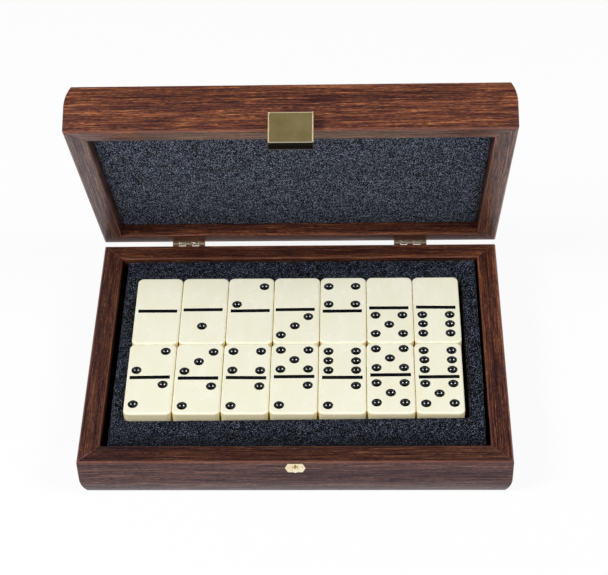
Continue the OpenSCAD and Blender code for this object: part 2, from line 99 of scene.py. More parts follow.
# %% Graph helpers
class Signal:
    """A value that comes out of a node."""

    def __init__(self, graph, socket):
        self.graph, self.socket = graph, socket

    def math(self, operation, *values):
        return self.graph.node("ShaderNodeMath", {"operation": operation}, dict(enumerate(values)))

    def __add__(self, other):
        return self.math("ADD", self, other)

    def __sub__(self, other):
        return self.math("SUBTRACT", self, other)

    def __mul__(self, other):
        return self.math("MULTIPLY", self, other)

    def __pow__(self, other):
        return self.math("POWER", self, other)

    def __radd__(self, other):
        return self.math("ADD", other, self)

    def __rsub__(self, other):
        return self.math("SUBTRACT", other, self)

    def __rmul__(self, other):
        return self.math("MULTIPLY", other, self)


class Graph:
    """A node tree that is filled by calls."""

    def __init__(self, tree):
        self.tree = tree

    def feed(self, socket, value):
        if isinstance(value, Signal):
            self.tree.links.new(value.socket, socket)
        else:
            socket.default_value = value

    def node(self, kind, settings=None, inputs=None, output=0):
        """Adds a node and returns the signal of one of its outputs."""
        made = self.tree.nodes.new(kind)
        for name, value in (settings or {}).items():
            if name == "stops":
                ramp = made.color_ramp
                while len(ramp.elements) < len(value):
                    ramp.elements.new(0.5)
                for element, (place, tone) in zip(ramp.elements, value):
                    element.position, element.color = place, tone
            else:
                setattr(made, name, value)
        for name, value in (inputs or {}).items():
            self.feed(made.inputs[name], value)
        return Signal(self, made.outputs[output])

    def span(self, value, low, high, to_low=0.0, to_high=1.0):
        """Stretches low..high of a value over to_low..to_high, and cuts off the rest."""
        return self.node("ShaderNodeMapRange", {"clamp": True},
                         {"Value": value, "From Min": low, "From Max": high,
                          "To Min": to_low, "To Max": to_high})

    def end(self, signal, kind):
        """Leads a signal into a new output node, which closes the graph."""
        self.tree.links.new(signal.socket, self.tree.nodes.new(kind).inputs[0])


class Finish(Graph):
    """A material with its shader, whose plain values are set on the shader itself."""

    def __init__(self, name, **plain):
        self.material = bpy.data.materials.new(name)
        self.material.use_nodes = True
        super().__init__(self.material.node_tree)
        self.shader = self.tree.nodes["Principled BSDF"]
        for socket, value in plain.items():
            self.shader.inputs[socket.replace("_", " ")].default_value = value

    def drive(self, socket, signal):
        self.feed(self.shader.inputs[socket], signal)

    def place(self, scale, source="Object", shift=(0, 0, 0)):
        """Coordinates in metres times scale, so scale counts features in a metre."""
        where = self.node("ShaderNodeTexCoord", output=source)
        return self.node("ShaderNodeMapping", {},
                         {"Vector": where, "Scale": scale, "Location": shift})

    def noise(self, scale, detail=3.0, rough=0.5, source="Object", shift=(0, 0, 0)):
        return self.node("ShaderNodeTexNoise", {"noise_dimensions": "3D"},
                         {"Vector": self.place(scale, source, shift), "Scale": 1.0,
                          "Detail": detail, "Roughness": rough})

    def attribute(self, name):
        """A number that the mesh carries at its points or faces."""
        return self.node("ShaderNodeAttribute", {"attribute_name": name}, output="Fac")

    def blend(self, share, first, second, mode="MIX"):
        """A colour mix; the colour sockets of the Mix node are its seventh and eighth."""
        return self.node("ShaderNodeMix", {"data_type": "RGBA", "blend_type": mode},
                         {0: share, 6: first, 7: second}, output=2)

    def bump(self, height, depth, strength):
        values = {"Height": height, "Distance": depth, "Strength": strength}
        self.drive("Normal", self.node("ShaderNodeBump", {}, values))


def tone(red, green, blue):
    """A paint chart's colour, 0 to 255, turned into the linear one that nodes use."""
    parts = [c / 255 for c in (red, green, blue)]
    return (*[c / 12.92 if c <= 0.04045 else ((c + 0.055) / 1.055) ** 2.4 for c in parts], 1.0)


print("graph helpers ready")

# %% [markdown]
# ## Walnut
# The rails are wrapped in a satin walnut grain that runs along each one and over its
# edges. The grain is made of noises stretched along U: wide bands of tone, streaks, fine
# threads, grit and short dark pores, all swaying a little together. They read the
# piece's own UV map, which is measured in metres along and around the rail, so the
# figure keeps its scale on every piece. Two numbers come from the mesh. One is painted
# shade, which makes some rails greyer and darker to stand in for light they get less
# of. The other lightens the mitres as wear and the rounded edges as a painted
# highlight. The varnish is a coat that lies thicker on the smooth light wood than in
# the open pores.

# %% Walnut
SWAY = 0.003
FIGURE_STOPS = (0.0, 0.3, 0.52, 0.76, 1.0)
# Tone of the painted shade on darker rails; pale tone and its share for mitre wear and the painted highlight on
# rounded edges.
PAINTED_SHADE_TONE, RUBBED_AND_HIGHLIGHT, RUBBED_AND_HIGHLIGHT_SHARE = (186, 198, 222), (152, 102, 84), 0.36


def walnut_finish(name, *tones):
    """tones: darkest, dark, middle, light and brightest colour of the figure."""
    wood = Finish(name, Roughness=0.38, IOR=1.5, Specular_IOR_Level=0.35,
                  Specular_Tint=(1.0, 0.5, 0.72, 1.0), Coat_Roughness=0.38, Coat_IOR=1.5)
    sway = wood.noise((16, 40, 1), 2.0, 0.5, "UV", (0.4, 5.1, 0))
    along = wood.node("ShaderNodeVectorMath", {"operation": "ADD"}, {
        0: wood.node("ShaderNodeTexCoord", output="UV"),
        1: wood.node("ShaderNodeCombineXYZ", {}, {"Y": (sway - 0.5) * SWAY})})

    def figure(across, run, detail, rough, shift):
        """Noise with so many features in a metre across the grain and along it."""
        place = wood.node("ShaderNodeMapping", {},
                          {"Vector": along, "Scale": (run, across, 1), "Location": shift})
        return wood.node("ShaderNodeTexNoise", {"noise_dimensions": "3D"},
                         {"Vector": place, "Scale": 1.0, "Detail": detail, "Roughness": rough})

    bands = figure(210, 5, 2.0, 0.55, (0, 0, 0))
    streaks = figure(1100, 22, 3.0, 0.7, (3.1, 7.7, 0))
    threads = figure(2000, 62, 2.0, 0.7, (5.5, 2.8, 0))
    grit = figure(2600, 380, 1.0, 0.6, (1.7, 6.1, 0))
    pores = figure(1700, 120, 1.0, 0.5, (9.3, 1.2, 0))
    mixed = bands * 0.17 + streaks * 0.3 + threads * 0.33 + grit * 0.2
    colour = wood.node("ShaderNodeValToRGB", {"stops": list(zip(FIGURE_STOPS, tones))},
                       {"Fac": wood.span(mixed, 0.405, 0.595)})
    colour = wood.blend(wood.span(pores, 0.3, 0.42, 0.6, 0.0), colour, tones[0])
    # Painted shade: each rail is multiplied greyer and darker by its shade number, standing in for light it gets
    # less of.
    colour = wood.blend(wood.attribute("shade"), colour, tone(*PAINTED_SHADE_TONE), "MULTIPLY")
    # Mitres are lightened as wear, the rounded edges as a painted highlight.
    colour = wood.blend(wood.attribute("wear") * RUBBED_AND_HIGHLIGHT_SHARE, colour, tone(*RUBBED_AND_HIGHLIGHT))
    wood.drive("Base Color", colour)
    wood.drive("Coat Weight", wood.span(mixed, 0.42, 0.6, 0.0, 0.75))
    wood.drive("Roughness", wood.span(threads, 0.3, 0.7, 0.44, 0.33))
    wood.bump(streaks * 0.5 + pores * 0.5, 0.0001, 0.45)
    return wood.material


WALNUT_TONES = (tone(32, 17, 16), tone(60, 33, 26), tone(88, 48, 31),
                tone(128, 72, 41), tone(174, 112, 66))
PANEL_TONES = (tone(27, 15, 15), tone(50, 29, 25), tone(72, 42, 31),
               tone(102, 60, 38), tone(134, 86, 57))
walnut = walnut_finish("walnut_grain", *WALNUT_TONES)
walnut_panel = walnut_finish("walnut_panel_grain", *PANEL_TONES)
print("materials:", walnut.name, walnut_panel.name)

# %% [markdown]
# ## Placing things
# The lid was drawn shut and turned open about the hinge. The joint holds the turn, so
# one matrix brings any lid piece from its shut place to the open one of the photograph.

# %% Lid matrix and piece helpers
lid_joint = next(j for j in frame["joints"] if j["name"] == "lid_hinge")
pin_line = Vector(lid_joint["pos_m"])
open_turn = Matrix.Rotation(math.radians(-lid_joint["range_deg"][0]), 4, Vector(lid_joint["axis"]))
OPENED = Matrix.Translation(pin_line) @ open_turn @ Matrix.Translation(-pin_line)


def make_object(name, mesh):
    thing = bpy.data.objects.new(name, mesh)
    bpy.context.scene.collection.objects.link(thing)
    return thing


def skin(data, rows, finish=0):
    """Closes bmesh data over rows of points, with a face on the first and the last row."""
    count = len(rows[0])
    for a, b in zip(rows, rows[1:]):
        for j in range(count):
            k = (j + 1) % count
            data.faces.new((a[j], a[k], b[k], b[j])).material_index = finish
    data.faces.new(rows[0])
    data.faces.new(rows[-1])


def solid(name, data, *materials):
    """An object made from bmesh data, with its faces turned outwards."""
    bmesh.ops.recalc_face_normals(data, faces=data.faces)
    mesh = bpy.data.meshes.new(name)
    data.to_mesh(mesh)
    data.free()
    for material in materials:
        mesh.materials.append(material)
    return make_object(name, mesh)


def apply_modifiers(thing):
    """Turns what the modifiers make into the object's plain mesh."""
    ready = thing.evaluated_get(bpy.context.evaluated_depsgraph_get())
    mesh = bpy.data.meshes.new_from_object(ready)
    thing.modifiers.clear()
    old, thing.data = thing.data, mesh
    bpy.data.meshes.remove(old)
    return thing


def smooth(thing, angle=35.0):
    """Smooth shading with crisp edges above an angle, and big flat faces that stay flat."""
    data = bmesh.new()
    data.from_mesh(thing.data)
    for edge in data.edges:
        edge.smooth = len(edge.link_faces) == 2 and edge.calc_face_angle(0) < math.radians(angle)
    for face in data.faces:
        face.smooth = True
    data.to_mesh(thing.data)
    data.free()
    weighted = thing.modifiers.new("weighted", "WEIGHTED_NORMAL")
    weighted.keep_sharp = True
    return apply_modifiers(thing)


def hand_over(thing, body, slot, *nodes):
    """Hangs a piece on the empty of the body that carries it and hides the nodes it stands for; slot is not used.
    """
    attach(thing, body)
    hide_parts(*nodes)
    return thing


print("lid turned by", -lid_joint["range_deg"][0], "degrees")

# %% [markdown]
# ## Rails
# Case and lid are each four lengths of one moulding with mitred ends. The moulding is a
# closed outline: a big curve that draws in below, an upright face, a rounded rim and a
# rabbet for the panel. The outline is carried along the rail, and its last ring leans
# with the mitre and draws in a little, which leaves the fine line seen at each corner.
# Every rail is cut from another stretch of wood, so each starts at its own place in the
# figure, and each is darkened by its own amount of painted shade.

# %% Moulding outline
BOX_W, BOX_D = 224.0, 162.0
BASE_H, LID_H, SEAM = 26.0, 25.8, 0.4
WALL, RABBET, PANEL_T = 11.0, 4.0, 3.0
EDGE_INSET, EDGE_RISE = 2.8, 12.3
RIM_ROUND, INNER_ROUND = 1.2, 0.8
# How much the rounded rim and inner edges are lightened as a painted highlight, and the mitres as wear.
RIM_HIGHLIGHT, INNER_HIGHLIGHT, MITRE_WEAR = 1.0, 0.9, 0.5


def in_place(x, y, up, lid):
    """A place in metres. The lid is drawn upside down on the shut case, and turned open."""
    if not lid:
        return Vector((x, y, up)) * MM
    return OPENED @ (Vector((x, y, BASE_H + SEAM + LID_H - up)) * MM)


def arc(centre, radius, start, stop, steps):
    """Points along part of a circle, with its angles in degrees."""
    angles = [math.radians(start + (stop - start) * i / steps) for i in range(steps + 1)]
    return [(centre[0] + radius * math.cos(a), centre[1] + radius * math.sin(a)) for a in angles]


def moulding_outline(height):
    """Points (inset from the outer face, height above the panel), and how much painted highlight each gets."""
    edge_r = (EDGE_INSET ** 2 + EDGE_RISE ** 2) / (2 * EDGE_INSET)
    sweep = math.degrees(math.asin(EDGE_RISE / edge_r))
    points = arc((edge_r, EDGE_RISE), edge_r, 180 + sweep, 180, 14)
    painted_highlight = [0.0] * len(points)
    rim = arc((RIM_ROUND, height - RIM_ROUND), RIM_ROUND, 180, 90, 8)
    inner = arc((WALL - INNER_ROUND, height - INNER_ROUND), INNER_ROUND, 90, 0, 5)
    # The rounded edges are lightened as a painted highlight, most in the middle of each round.
    for part, most in ((rim, RIM_HIGHLIGHT), (inner, INNER_HIGHLIGHT)):
        points += part
        painted_highlight += [most * math.sin(math.pi * i / (len(part) - 1)) for i in range(len(part))]
    back = [(WALL, PANEL_T), (WALL - RABBET, PANEL_T), (WALL - RABBET, 0.0)]
    return points + back, painted_highlight + [0.0] * len(back)


def drawn_in(points, amount):
    """The closed outline moved inwards, for the softened ends at the mitres."""
    moved, count = [], len(points)
    for i, (x, y) in enumerate(points):
        (ax, ay), (bx, by) = points[i - 1], points[(i + 1) % count]
        nx, ny = by - ay, -(bx - ax)
        long = math.hypot(nx, ny) or 1.0
        moved.append((x + nx / long * amount, y + ny / long * amount))
    return moved


print("moulding points:", len(moulding_outline(BASE_H)[0]))

# %% Rails
STATION, STATION_END, MITRE_GAP, MITRE_SOFT = 9.0, 1.0, 0.04, 0.14


def rail(name, side, height, lid, offset, shade):
    """side is 0 front, 1 back, 2 left, 3 right; shade is how much painted shade darkens it."""
    length = BOX_W if side < 2 else BOX_D
    outline, painted_highlight = moulding_outline(height)
    inner = drawn_in(outline, MITRE_SOFT)
    run = [0.0]
    for a, b in zip(outline, outline[1:] + outline[:1]):
        run.append(run[-1] + math.dist(a, b))
    flat_half = length / 2 - WALL - STATION_END
    steps = round(2 * flat_half / STATION)
    stations = [-flat_half + 2 * flat_half * i / steps for i in range(steps + 1)]

    def point(x, inset, up):
        p = {0: (x, inset - BOX_D / 2), 1: (-x, BOX_D / 2 - inset),
             2: (inset - BOX_W / 2, -x), 3: (BOX_W / 2 - inset, x)}[side]
        return in_place(*p, up, lid)

    def ring(kind, sign=1.0, x=0.0):
        if kind == "middle":
            return [(x, n, z) for n, z in outline]
        shape, back = (inner, MITRE_GAP) if kind == "tip" else (outline, MITRE_GAP + 2 * MITRE_SOFT)
        return [(sign * (length / 2 - n - back), n, z) for n, z in shape]

    rings = [ring("tip", -1), ring("end", -1)]
    rings += [ring("middle", x=x) for x in stations] + [ring("end"), ring("tip")]
    data = bmesh.new()
    wear = data.verts.layers.float.new("wear")
    dark = data.verts.layers.float.new("shade")
    uv = data.loops.layers.uv.new("UVMap")
    verts = []
    for r in rings:
        row = [data.verts.new(point(*p)) for p in r]
        for vert, w in zip(row, painted_highlight):
            # Mitre tips are lightened as wear; elsewhere the rounded edges carry their painted highlight.
            vert[wear] = MITRE_WEAR if r in (rings[0], rings[-1]) else w
            vert[dark] = shade
        verts.append(row)
    count = len(outline)
    for i in range(len(rings) - 1):
        for j in range(count):
            k = (j + 1) % count
            face = data.faces.new((verts[i][j], verts[i][k], verts[i + 1][k], verts[i + 1][j]))
            places = ((i, j, run[j]), (i, k, run[j + 1]),
                      (i + 1, k, run[j + 1]), (i + 1, j, run[j]))
            for loop, (a, b, v) in zip(face.loops, places):
                loop[uv].uv = ((rings[a][b][0] + offset) * MM, v * MM)
    for row, flat in ((verts[0], rings[0]), (verts[-1], rings[-1])):
        face = data.faces.new(row)
        for loop, p in zip(face.loops, flat):
            loop[uv].uv = ((p[2] + offset) * MM, p[1] * MM)
    return smooth(solid(name, data, walnut))


SIDES = ("front", "back", "left", "right")
# Painted shade on each rail (front, back, left, right); the starts place each rail in the figure.
BASE_SHADES, LID_SHADES = (1.0, 0.4, 0.7, 0.35), (0.0, 0.0, 0.7, 0.2)
BASE_START, LID_START = [431.0 * n for n in (1, 2, 3, 4)], [613.0 * n for n in (6, 7, 8, 9)]
for number, side in enumerate(SIDES):
    made = rail(f"{side}_moulding", number, BASE_H, False, BASE_START[number], BASE_SHADES[number])
    hand_over(made, "case", "walnut", f"base_{side}_rail")
    made = rail(f"lid_{side}_moulding", number, LID_H, True, LID_START[number], LID_SHADES[number])
    hand_over(made, "lid", "walnut", f"lid_{side}_rail")
print("rails:", 2 * len(SIDES))

# %% [markdown]
# ## Panels
# A thin panel is let into the rabbets of the case from below and of the lid from above,
# flush with the rails. It only needs softened edges, so that a hair line shows round it.

# %% Panels
PANEL_FIT, PANEL_PLAY, PANEL_SOFT = 0.1, 0.05, 0.25
PANEL_START = 77


def slab(name, size, low, lid, material, soft):
    """A block with softened edges and its grain along X; size is (x, y, z) in mm."""
    data = bmesh.new()
    bmesh.ops.create_cube(data, size=1.0)
    for vert in data.verts:
        x, y, z = vert.co
        vert.co = Vector((x * size[0], y * size[1], low + (z + 0.5) * size[2]))
    bmesh.ops.bevel(data, geom=data.edges[:], offset=soft, segments=3, profile=0.5,
                    affect="EDGES")
    uv = data.loops.layers.uv.new("UVMap")
    for face in data.faces:
        for loop in face.loops:
            x, y, z = loop.vert.co
            loop[uv].uv = ((x + PANEL_START) * MM, (y + z) * MM)
    for vert in data.verts:
        vert.co = in_place(*vert.co, lid)
    return smooth(solid(name, data, material))


panel_size = [side - 2 * (WALL - RABBET + PANEL_FIT) for side in (BOX_W, BOX_D)]
for name, body, node, lid in (("underside_panel", "case", "bottom_panel", False),
                              ("lid_panel", "lid", "top_panel", True)):
    made = slab(name, (*panel_size, PANEL_T - PANEL_PLAY), 0.0, lid, walnut_panel, PANEL_SOFT)
    hand_over(made, body, "walnut_panel", node)
print("panels:", [round(s, 1) for s in panel_size])

# %% [markdown]
# ## Foam
# Tray and lid lining are black open cell foam. From a distance it is dark with fine
# grey-blue specks where cell walls catch the light. The lining faces away from the
# lamps, and its specks are painted lighter as painted light. Along the front rail the
# tray's specks fade into a painted shadow of the rail. The blocks are built as plain
# meshes of small squares, and a Geometry Nodes tree moves every point a little along
# its normal, so the cut surface is rough in the mesh itself and not only in the shader.

# %% Foam finish
CELLS, CLUMPS, SPECK_POWER = 1750, 300, 2.2
# Painted shadow of the front rail: where it starts and ends along Y, and how faint the specks get.
RAIL_SHADOW_FROM, RAIL_SHADOW_TO, RAIL_SHADOW_SHARE = -0.0585, -0.069, 0.3


def foam_finish(name, low, high):
    foam = Finish(name, Roughness=0.85, Specular_IOR_Level=0.08)
    cells = foam.noise([CELLS] * 3, 1.0, 0.6)
    clumps = foam.noise([CLUMPS] * 3, 2.0, 0.5, shift=(4, 9, 2))
    cell_walls = foam.span(cells + (clumps - 0.5) * 0.15, 0.5, 0.66)
    # Painted shadow: specks fade towards the front rail, by the piece's own Y.
    where = foam.node("ShaderNodeTexCoord", output="Object")
    along = foam.node("ShaderNodeSeparateXYZ", {}, {0: where}, output="Y")
    painted_rail_shadow = foam.span(along, RAIL_SHADOW_TO, RAIL_SHADOW_FROM, RAIL_SHADOW_SHARE, 1.0)
    foam.drive("Base Color", foam.blend(cell_walls ** SPECK_POWER * painted_rail_shadow, low, high))
    foam.bump(cells, 0.0005, 0.9)
    return foam.material


tray_foam = foam_finish("tray_foam", tone(6, 7, 10), tone(104, 111, 131))
# The lining's specks are lighter than the tray's: painted light for a face turned away from the lamps.
lid_foam = foam_finish("lid_foam", tone(10, 12, 18), tone(175, 186, 215))
print("materials:", tray_foam.name, lid_foam.name)

# %% Geometry Nodes tree that roughens a cut face
def geometry_tree(name, **kinds):
    """A Geometry Nodes graph with the given inputs, as sockets by name."""
    tree = bpy.data.node_groups.new(name, "GeometryNodeTree")
    for socket, kind in {"Geometry": "Geometry", **kinds}.items():
        tree.interface.new_socket(socket, in_out="INPUT", socket_type=f"NodeSocket{kind}")
    tree.interface.new_socket("Geometry", in_out="OUTPUT", socket_type="NodeSocketGeometry")
    graph = Graph(tree)
    entry = tree.nodes.new("NodeGroupInput")
    return graph, {s.name: Signal(graph, s) for s in entry.outputs if s.name}


def mesh_number(graph, name):
    """A number that the mesh carries, read in a Geometry Nodes graph."""
    return graph.node("GeometryNodeInputNamedAttribute", {"data_type": "FLOAT"}, {"Name": name})


def roughening_tree():
    graph, given = geometry_tree("Roughen cut foam", Depth="Float", Cells="Float",
                                 Seed="Float", Finish="Material")
    rough = graph.node("ShaderNodeTexNoise", {"noise_dimensions": "4D"},
                       {"Vector": graph.node("GeometryNodeInputPosition"), "W": given["Seed"],
                        "Scale": given["Cells"], "Detail": 1.0})
    lift = (rough - 0.5) * given["Depth"] * mesh_number(graph, "skin")
    push = graph.node("ShaderNodeVectorMath", {"operation": "SCALE"},
                      {0: graph.node("GeometryNodeInputNormal"), "Scale": lift})
    moved = graph.node("GeometryNodeSetPosition", {},
                       {"Geometry": given["Geometry"], "Offset": push})
    whole = graph.node("GeometryNodeRealizeInstances", {}, {"Geometry": moved})
    graph.end(graph.node("GeometryNodeSetMaterial", {},
                         {"Geometry": whole, "Material": given["Finish"]}), "NodeGroupOutput")
    return graph.tree


def run_tree(thing, tree, **values):
    """Adds a Geometry Nodes modifier, sets its inputs by name, and applies it."""
    modifier = thing.modifiers.new(tree.name, "NODES")
    modifier.node_group = tree
    for item in tree.interface.items_tree:
        if item.in_out == "INPUT" and item.name in values:
            modifier[item.identifier] = values[item.name]
    return apply_modifiers(thing)


roughen = roughening_tree()
print("tree:", roughen.name)

# %% [markdown]
# ## Foam tray
# The tray is a loft of loops: up the pocket's wall, across the cut face, and down the
# outer wall. It stands a little clear of the rails, most at the left, and its right
# wall draws away towards the front corner. At the front right the face swells, where
# the loose foam is pushed up.

# %% Foam shapes
FOAM_SQUARE = 1.25
FOAM_DEPTH, FOAM_CELLS = 0.5 * MM, 700.0
IN_W, IN_D = BOX_W - 2 * WALL, BOX_D - 2 * WALL
FOAM_GAP_LEFT, FOAM_GAP_RIGHT, FOAM_GAP_Y = 3.7, 1.5, 1.0
POCKET_PLAY, POCKET_EXTRA, POCKET_R, OUTER_R = 0.5, 1.6, 3.0, 0.8
FOAM_LOW, POCKET_LOW, FOAM_TOP = 3.3, 6.2, 24.4
EDGE_DROP, EDGE_IN = 0.2, 0.12
FRONT_PULL, SWELL_LEFT, SWELL_MORE = 0.8, 0.2, 2.6


def ramp(value, start, stop):
    """0 at start, 1 at stop, straight in between and level outside."""
    return min(1.0, max(0.0, (value - start) / (stop - start)))


def rounded_loop(x0, x1, y0, y1, radius, nx, ny, nc):
    """Points round a rectangle with round corners; the counts make two loops match."""
    loop = []
    corners = ((x1 - radius, y0 + radius, -90), (x1 - radius, y1 - radius, 0),
               (x0 + radius, y1 - radius, 90), (x0 + radius, y0 + radius, 180))
    for k, (cx, cy, start) in enumerate(corners):
        turned = arc((cx, cy), radius, start, start + 90, nc)
        loop += turned[:-1]
        ex, ey = turned[-1]
        tx, ty, angle = corners[(k + 1) % 4]
        gx, gy = arc((tx, ty), radius, angle, angle, 1)[0]
        n = ny if k % 2 == 0 else nx
        loop += [(ex + (gx - ex) * i / n, ey + (gy - ey) * i / n) for i in range(n)]
    return loop


def lofted(name, rings, shares):
    """Closed mesh through rings of equal point count; shares say how rough each ring is."""
    data = bmesh.new()
    layer = data.verts.layers.float.new("skin")
    rows = []
    for ring, share in zip(rings, shares):
        row = [data.verts.new(Vector(p) * MM) for p in ring]
        for vert in row:
            vert[layer] = share
        rows.append(row)
    skin(data, rows)
    return solid(name, data)


def graded(first, last, step):
    """Evenly spaced values from first to last, about a step apart."""
    n = max(1, round(abs(last - first) / step))
    return [first + (last - first) * i / n for i in range(n + 1)]


pocket_nodes = [n for body, names in bodies.items() if body.startswith("tile_") for n in names]
tile_low = [min(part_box(n)[0][i] for n in pocket_nodes) / MM for i in range(3)]
tile_high = [max(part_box(n)[1][i] for n in pocket_nodes) / MM for i in range(3)]
outer = (-IN_W / 2 + FOAM_GAP_LEFT, IN_W / 2 - FOAM_GAP_RIGHT,
         -IN_D / 2 + FOAM_GAP_Y, IN_D / 2 - FOAM_GAP_Y)
pocket = (tile_low[0] - POCKET_PLAY, tile_high[0] + POCKET_PLAY + POCKET_EXTRA,
          tile_low[1] - POCKET_PLAY, tile_high[1] + POCKET_PLAY)
counts = (round((outer[1] - outer[0]) / FOAM_SQUARE),
          round((outer[3] - outer[2]) / FOAM_SQUARE), 5)


def tray_ring(share, z, shrink=0.0):
    """A loop part of the way from the pocket's wall to the outer wall."""
    edge = [p + (o - p) * share for p, o in zip(pocket, outer)]
    edge = (edge[0] + shrink, edge[1] - shrink, edge[2] + shrink, edge[3] - shrink)
    radius = POCKET_R + (OUTER_R - POCKET_R) * share - shrink
    return [(x - pulled_in(x, y), y, z) for x, y in rounded_loop(*edge, radius, *counts)]


def pulled_in(x, y):
    """How far the right wall draws away from its rail towards the front corner."""
    return FRONT_PULL * ramp(x, pocket[1], outer[1]) * ramp(y, -25, -60)


def swell(x, y):
    """How far the cut face stands up at the front, from left to right."""
    near_front = ramp(y, pocket[2] + 6, pocket[2] - 2)
    off_wall = ramp(y, outer[2], outer[2] + 12)
    return near_front * off_wall * (SWELL_LEFT + SWELL_MORE * ramp(x, -85, 85))


tray_rings = [(tray_ring(0.0, z), 0.0 if z < FOAM_TOP - 6 else 1.0)
              for z in graded(POCKET_LOW, FOAM_TOP - 0.6, FOAM_SQUARE)]
tray_rings.append((tray_ring(0.0, FOAM_TOP - EDGE_DROP, -EDGE_IN), 1.0))
for share in graded(0.03, 0.97, 0.065):
    face = [(x, y, z + swell(x, y)) for x, y, z in tray_ring(share, FOAM_TOP)]
    tray_rings.append((face, 1.0))
tray_rings.append((tray_ring(1.0, FOAM_TOP - EDGE_DROP, EDGE_IN), 1.0))
tray_rings += [(tray_ring(1.0, z), 1.0 if z > FOAM_TOP - 8 else 0.0)
               for z in graded(FOAM_TOP - 0.7, FOAM_LOW, FOAM_SQUARE)]
tray = run_tree(lofted("foam_insert", *zip(*tray_rings)), roughen,
                Depth=FOAM_DEPTH, Cells=FOAM_CELLS, Seed=3.0, Finish=tray_foam)
hand_over(tray, "case", "foam", "foam_tray")
print("foam insert faces:", len(tray.data.polygons))

# %% [markdown]
# ## Lid lining
# The lining is a plain block of the same foam, pressed in between the rails. Its face
# is gently uneven where it was glued. It is built shut and turned open with the lid.

# %% Lid lining
PAD_GAP, PAD_RECESS, PAD_SIDE = 0.3, 6.7, 2.0
RIM_DROP, RIM_WIDTH = 0.35, 1.5
pad_half = (IN_W / 2 - PAD_GAP, IN_D / 2 - PAD_GAP)
pad_face = BASE_H + SEAM + PAD_RECESS
pad_back = BASE_H + SEAM + LID_H - PANEL_T - PAD_GAP


def grid_block(name, half, face_z, back_z, square):
    """A block whose lower face is a fine grid and whose other faces are plain."""
    data = bmesh.new()
    layer = data.verts.layers.float.new("skin")
    xs, ys = graded(-half[0], half[0], square), graded(-half[1], half[1], square)
    rows = []
    for y in ys:
        row = []
        for x in xs:
            rim = min(half[0] - abs(x), half[1] - abs(y))
            drop = RIM_DROP * max(0.0, 1 - rim / RIM_WIDTH) ** 2
            vert = data.verts.new((x, y, face_z + drop))
            vert[layer] = 1.0
            row.append(vert)
        rows.append(row)
    for a, b in zip(rows, rows[1:]):
        for i in range(len(xs) - 1):
            data.faces.new((a[i], b[i], b[i + 1], a[i + 1]))
    border = rows[0] + [r[-1] for r in rows[1:]]
    border += rows[-1][-2::-1] + [r[0] for r in rows[-2:0:-1]]
    last = border
    for z in (face_z + PAD_SIDE, back_z):
        ring = [data.verts.new((v.co.x, v.co.y, z)) for v in border]
        for i, vert in enumerate(ring):
            k = (i + 1) % len(ring)
            data.faces.new((last[i], last[k], ring[k], vert))
        last = ring
    data.faces.new(last)
    for vert in data.verts:
        vert.co = OPENED @ (vert.co * MM)
    return solid(name, data)


lining = run_tree(grid_block("lid_lining", pad_half, pad_face, pad_back, FOAM_SQUARE), roughen,
                  Depth=FOAM_DEPTH, Cells=FOAM_CELLS, Seed=11.0, Finish=lid_foam)
hand_over(lining, "lid", "foam", "lid_pad")
print("lining faces:", len(lining.data.polygons))

# %% [markdown]
# ## Ivory and spots
# The tiles are polished resin, warm white with faint clouds. Their sides are painted
# yellower, as painted light for light that passes through the resin, most where two
# tiles stand side by side and light passes through both; the mesh says where as
# "flank". The spots are dishes and the bar a groove, both lined with black gloss
# paint. The dishes matter: each gathers the lamps into two small glints.

# %% Ivory and black
ivory = Finish("ivory_resin", Roughness=0.24, IOR=1.5)
clouds = ivory.noise((90, 60, 90), 3.0, 0.55)
grain = ivory.noise((420, 60, 420), 2.0, 0.5, shift=(2, 5, 1))
top_tone = ivory.blend(ivory.span(clouds * 0.7 + grain * 0.3, 0.35, 0.65),
                       tone(243, 240, 214), tone(247, 245, 224))
# Painted light: sides are blended yellower, most between close tiles, for light passing through the resin.
ivory.drive("Base Color", ivory.blend(ivory.attribute("flank"), top_tone, tone(248, 228, 165)))
ivory.drive("Roughness", ivory.span(clouds, 0.3, 0.7, 0.2, 0.3))

black = Finish("spot_paint", Roughness=0.07, IOR=1.75)
dust = black.noise((900, 900, 900), 2.0, 0.6)
black.drive("Base Color", black.blend(dust, tone(7, 8, 10), tone(16, 18, 22)))
print("materials:", ivory.material.name, black.material.name)

# %% [markdown]
# ## Tiles
# One blank serves all 28 tiles. What differs is a handful of points, each a spot or
# the bar. A Geometry Nodes tree puts a ball or a block on every point, paints these
# cutters black, and subtracts them from the blank, so the cut faces come out black.

# %% Tile blank
TILE_W, TILE_L, TILE_T = 25.4, 50.8, 11.2
TILE_CORNER, TILE_EDGE, TILE_FLAT = 3.2, 1.2, 0.5
PIP_BALL, PIP_DEPTH = 2.85, 2.1
PIP_DX, PIP_DY, PIP_MID = 7.4, 6.95, 12.1
BAR_L, BAR_W, BAR_H, BAR_DEPTH = 21.6, 2.4, 2.0, 0.5


def tile_blank():
    """Rounded block, centred on X and Y, standing on z = 0, in metres."""
    section = [(TILE_EDGE + TILE_FLAT, 0.0)]
    section += [(TILE_EDGE - x, z) for x, z in arc((0, TILE_EDGE), TILE_EDGE, -90, 0, 6)]
    top_round = arc((0, TILE_T - TILE_EDGE), TILE_EDGE, 0, 90, 8)
    section += [(TILE_EDGE - x, z) for x, z in top_round]
    section += [(TILE_EDGE + TILE_FLAT, TILE_T)]
    rings = []
    for inset, z in section:
        edge = (-TILE_W / 2 + inset, TILE_W / 2 - inset, -TILE_L / 2 + inset, TILE_L / 2 - inset)
        rings.append([(x, y, z) for x, y in rounded_loop(*edge, TILE_CORNER - inset, 1, 1, 8)])
    return lofted("tile_blank", rings, [0.0] * len(rings))


